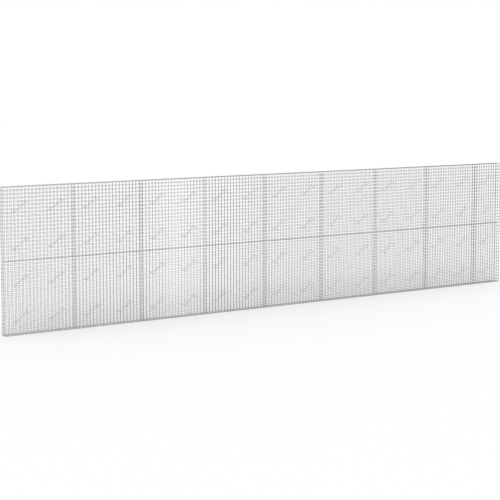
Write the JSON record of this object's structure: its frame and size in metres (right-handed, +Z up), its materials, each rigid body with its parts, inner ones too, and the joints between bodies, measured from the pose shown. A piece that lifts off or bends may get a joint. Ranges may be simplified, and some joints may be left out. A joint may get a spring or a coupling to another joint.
{
  "type": "gabion fence",
  "caption": "Tall, thin gabion fence of welded wire mesh in two tiers of empty stone compartments, ending in a half bay.",
  "frame": {"origin": "middle of the fence's length and depth, on the underside of the base mesh", "axes": "+X along the fence towards the short bay, +Y from the front sheet to the back sheet, +Z up"},
  "size_m": [8.504, 0.12, 2.004],
  "materials": {
    "galvanised_wire": "galvanised, dull silver grey",
    "tie_wire": "galvanised, dull silver grey"
  },
  "bodies": {
    "root": {"front_mesh_bay_1": "galvanised_wire", "front_mesh_bay_2": "galvanised_wire", "front_mesh_bay_3": "galvanised_wire", "front_mesh_bay_4": "galvanised_wire", "front_mesh_bay_5": "galvanised_wire", "front_mesh_bay_6": "galvanised_wire", "front_mesh_bay_7": "galvanised_wire", "front_mesh_bay_8": "galvanised_wire", "front_mesh_short_bay": "galvanised_wire", "back_mesh_bay_1": "galvanised_wire", "back_mesh_bay_2": "galvanised_wire", "back_mesh_bay_3": "galvanised_wire", "back_mesh_bay_4": "galvanised_wire", "back_mesh_bay_5": "galvanised_wire", "back_mesh_bay_6": "galvanised_wire", "back_mesh_bay_7": "galvanised_wire", "back_mesh_bay_8": "galvanised_wire", "back_mesh_short_bay": "galvanised_wire", "left_end_mesh": "galvanised_wire", "divider_mesh_1": "galvanised_wire", "divider_mesh_2": "galvanised_wire", "divider_mesh_3": "galvanised_wire", "divider_mesh_4": "galvanised_wire", "divider_mesh_5": "galvanised_wire", "divider_mesh_6": "galvanised_wire", "divider_mesh_7": "galvanised_wire", "divider_mesh_8": "galvanised_wire", "right_end_mesh": "galvanised_wire", "base_mesh": "galvanised_wire", "middle_floor_wires": "galvanised_wire", "lid_wires": "galvanised_wire", "lower_tie_wires": "tie_wire", "upper_tie_wires": "tie_wire"}
  },
  "joints": []
}
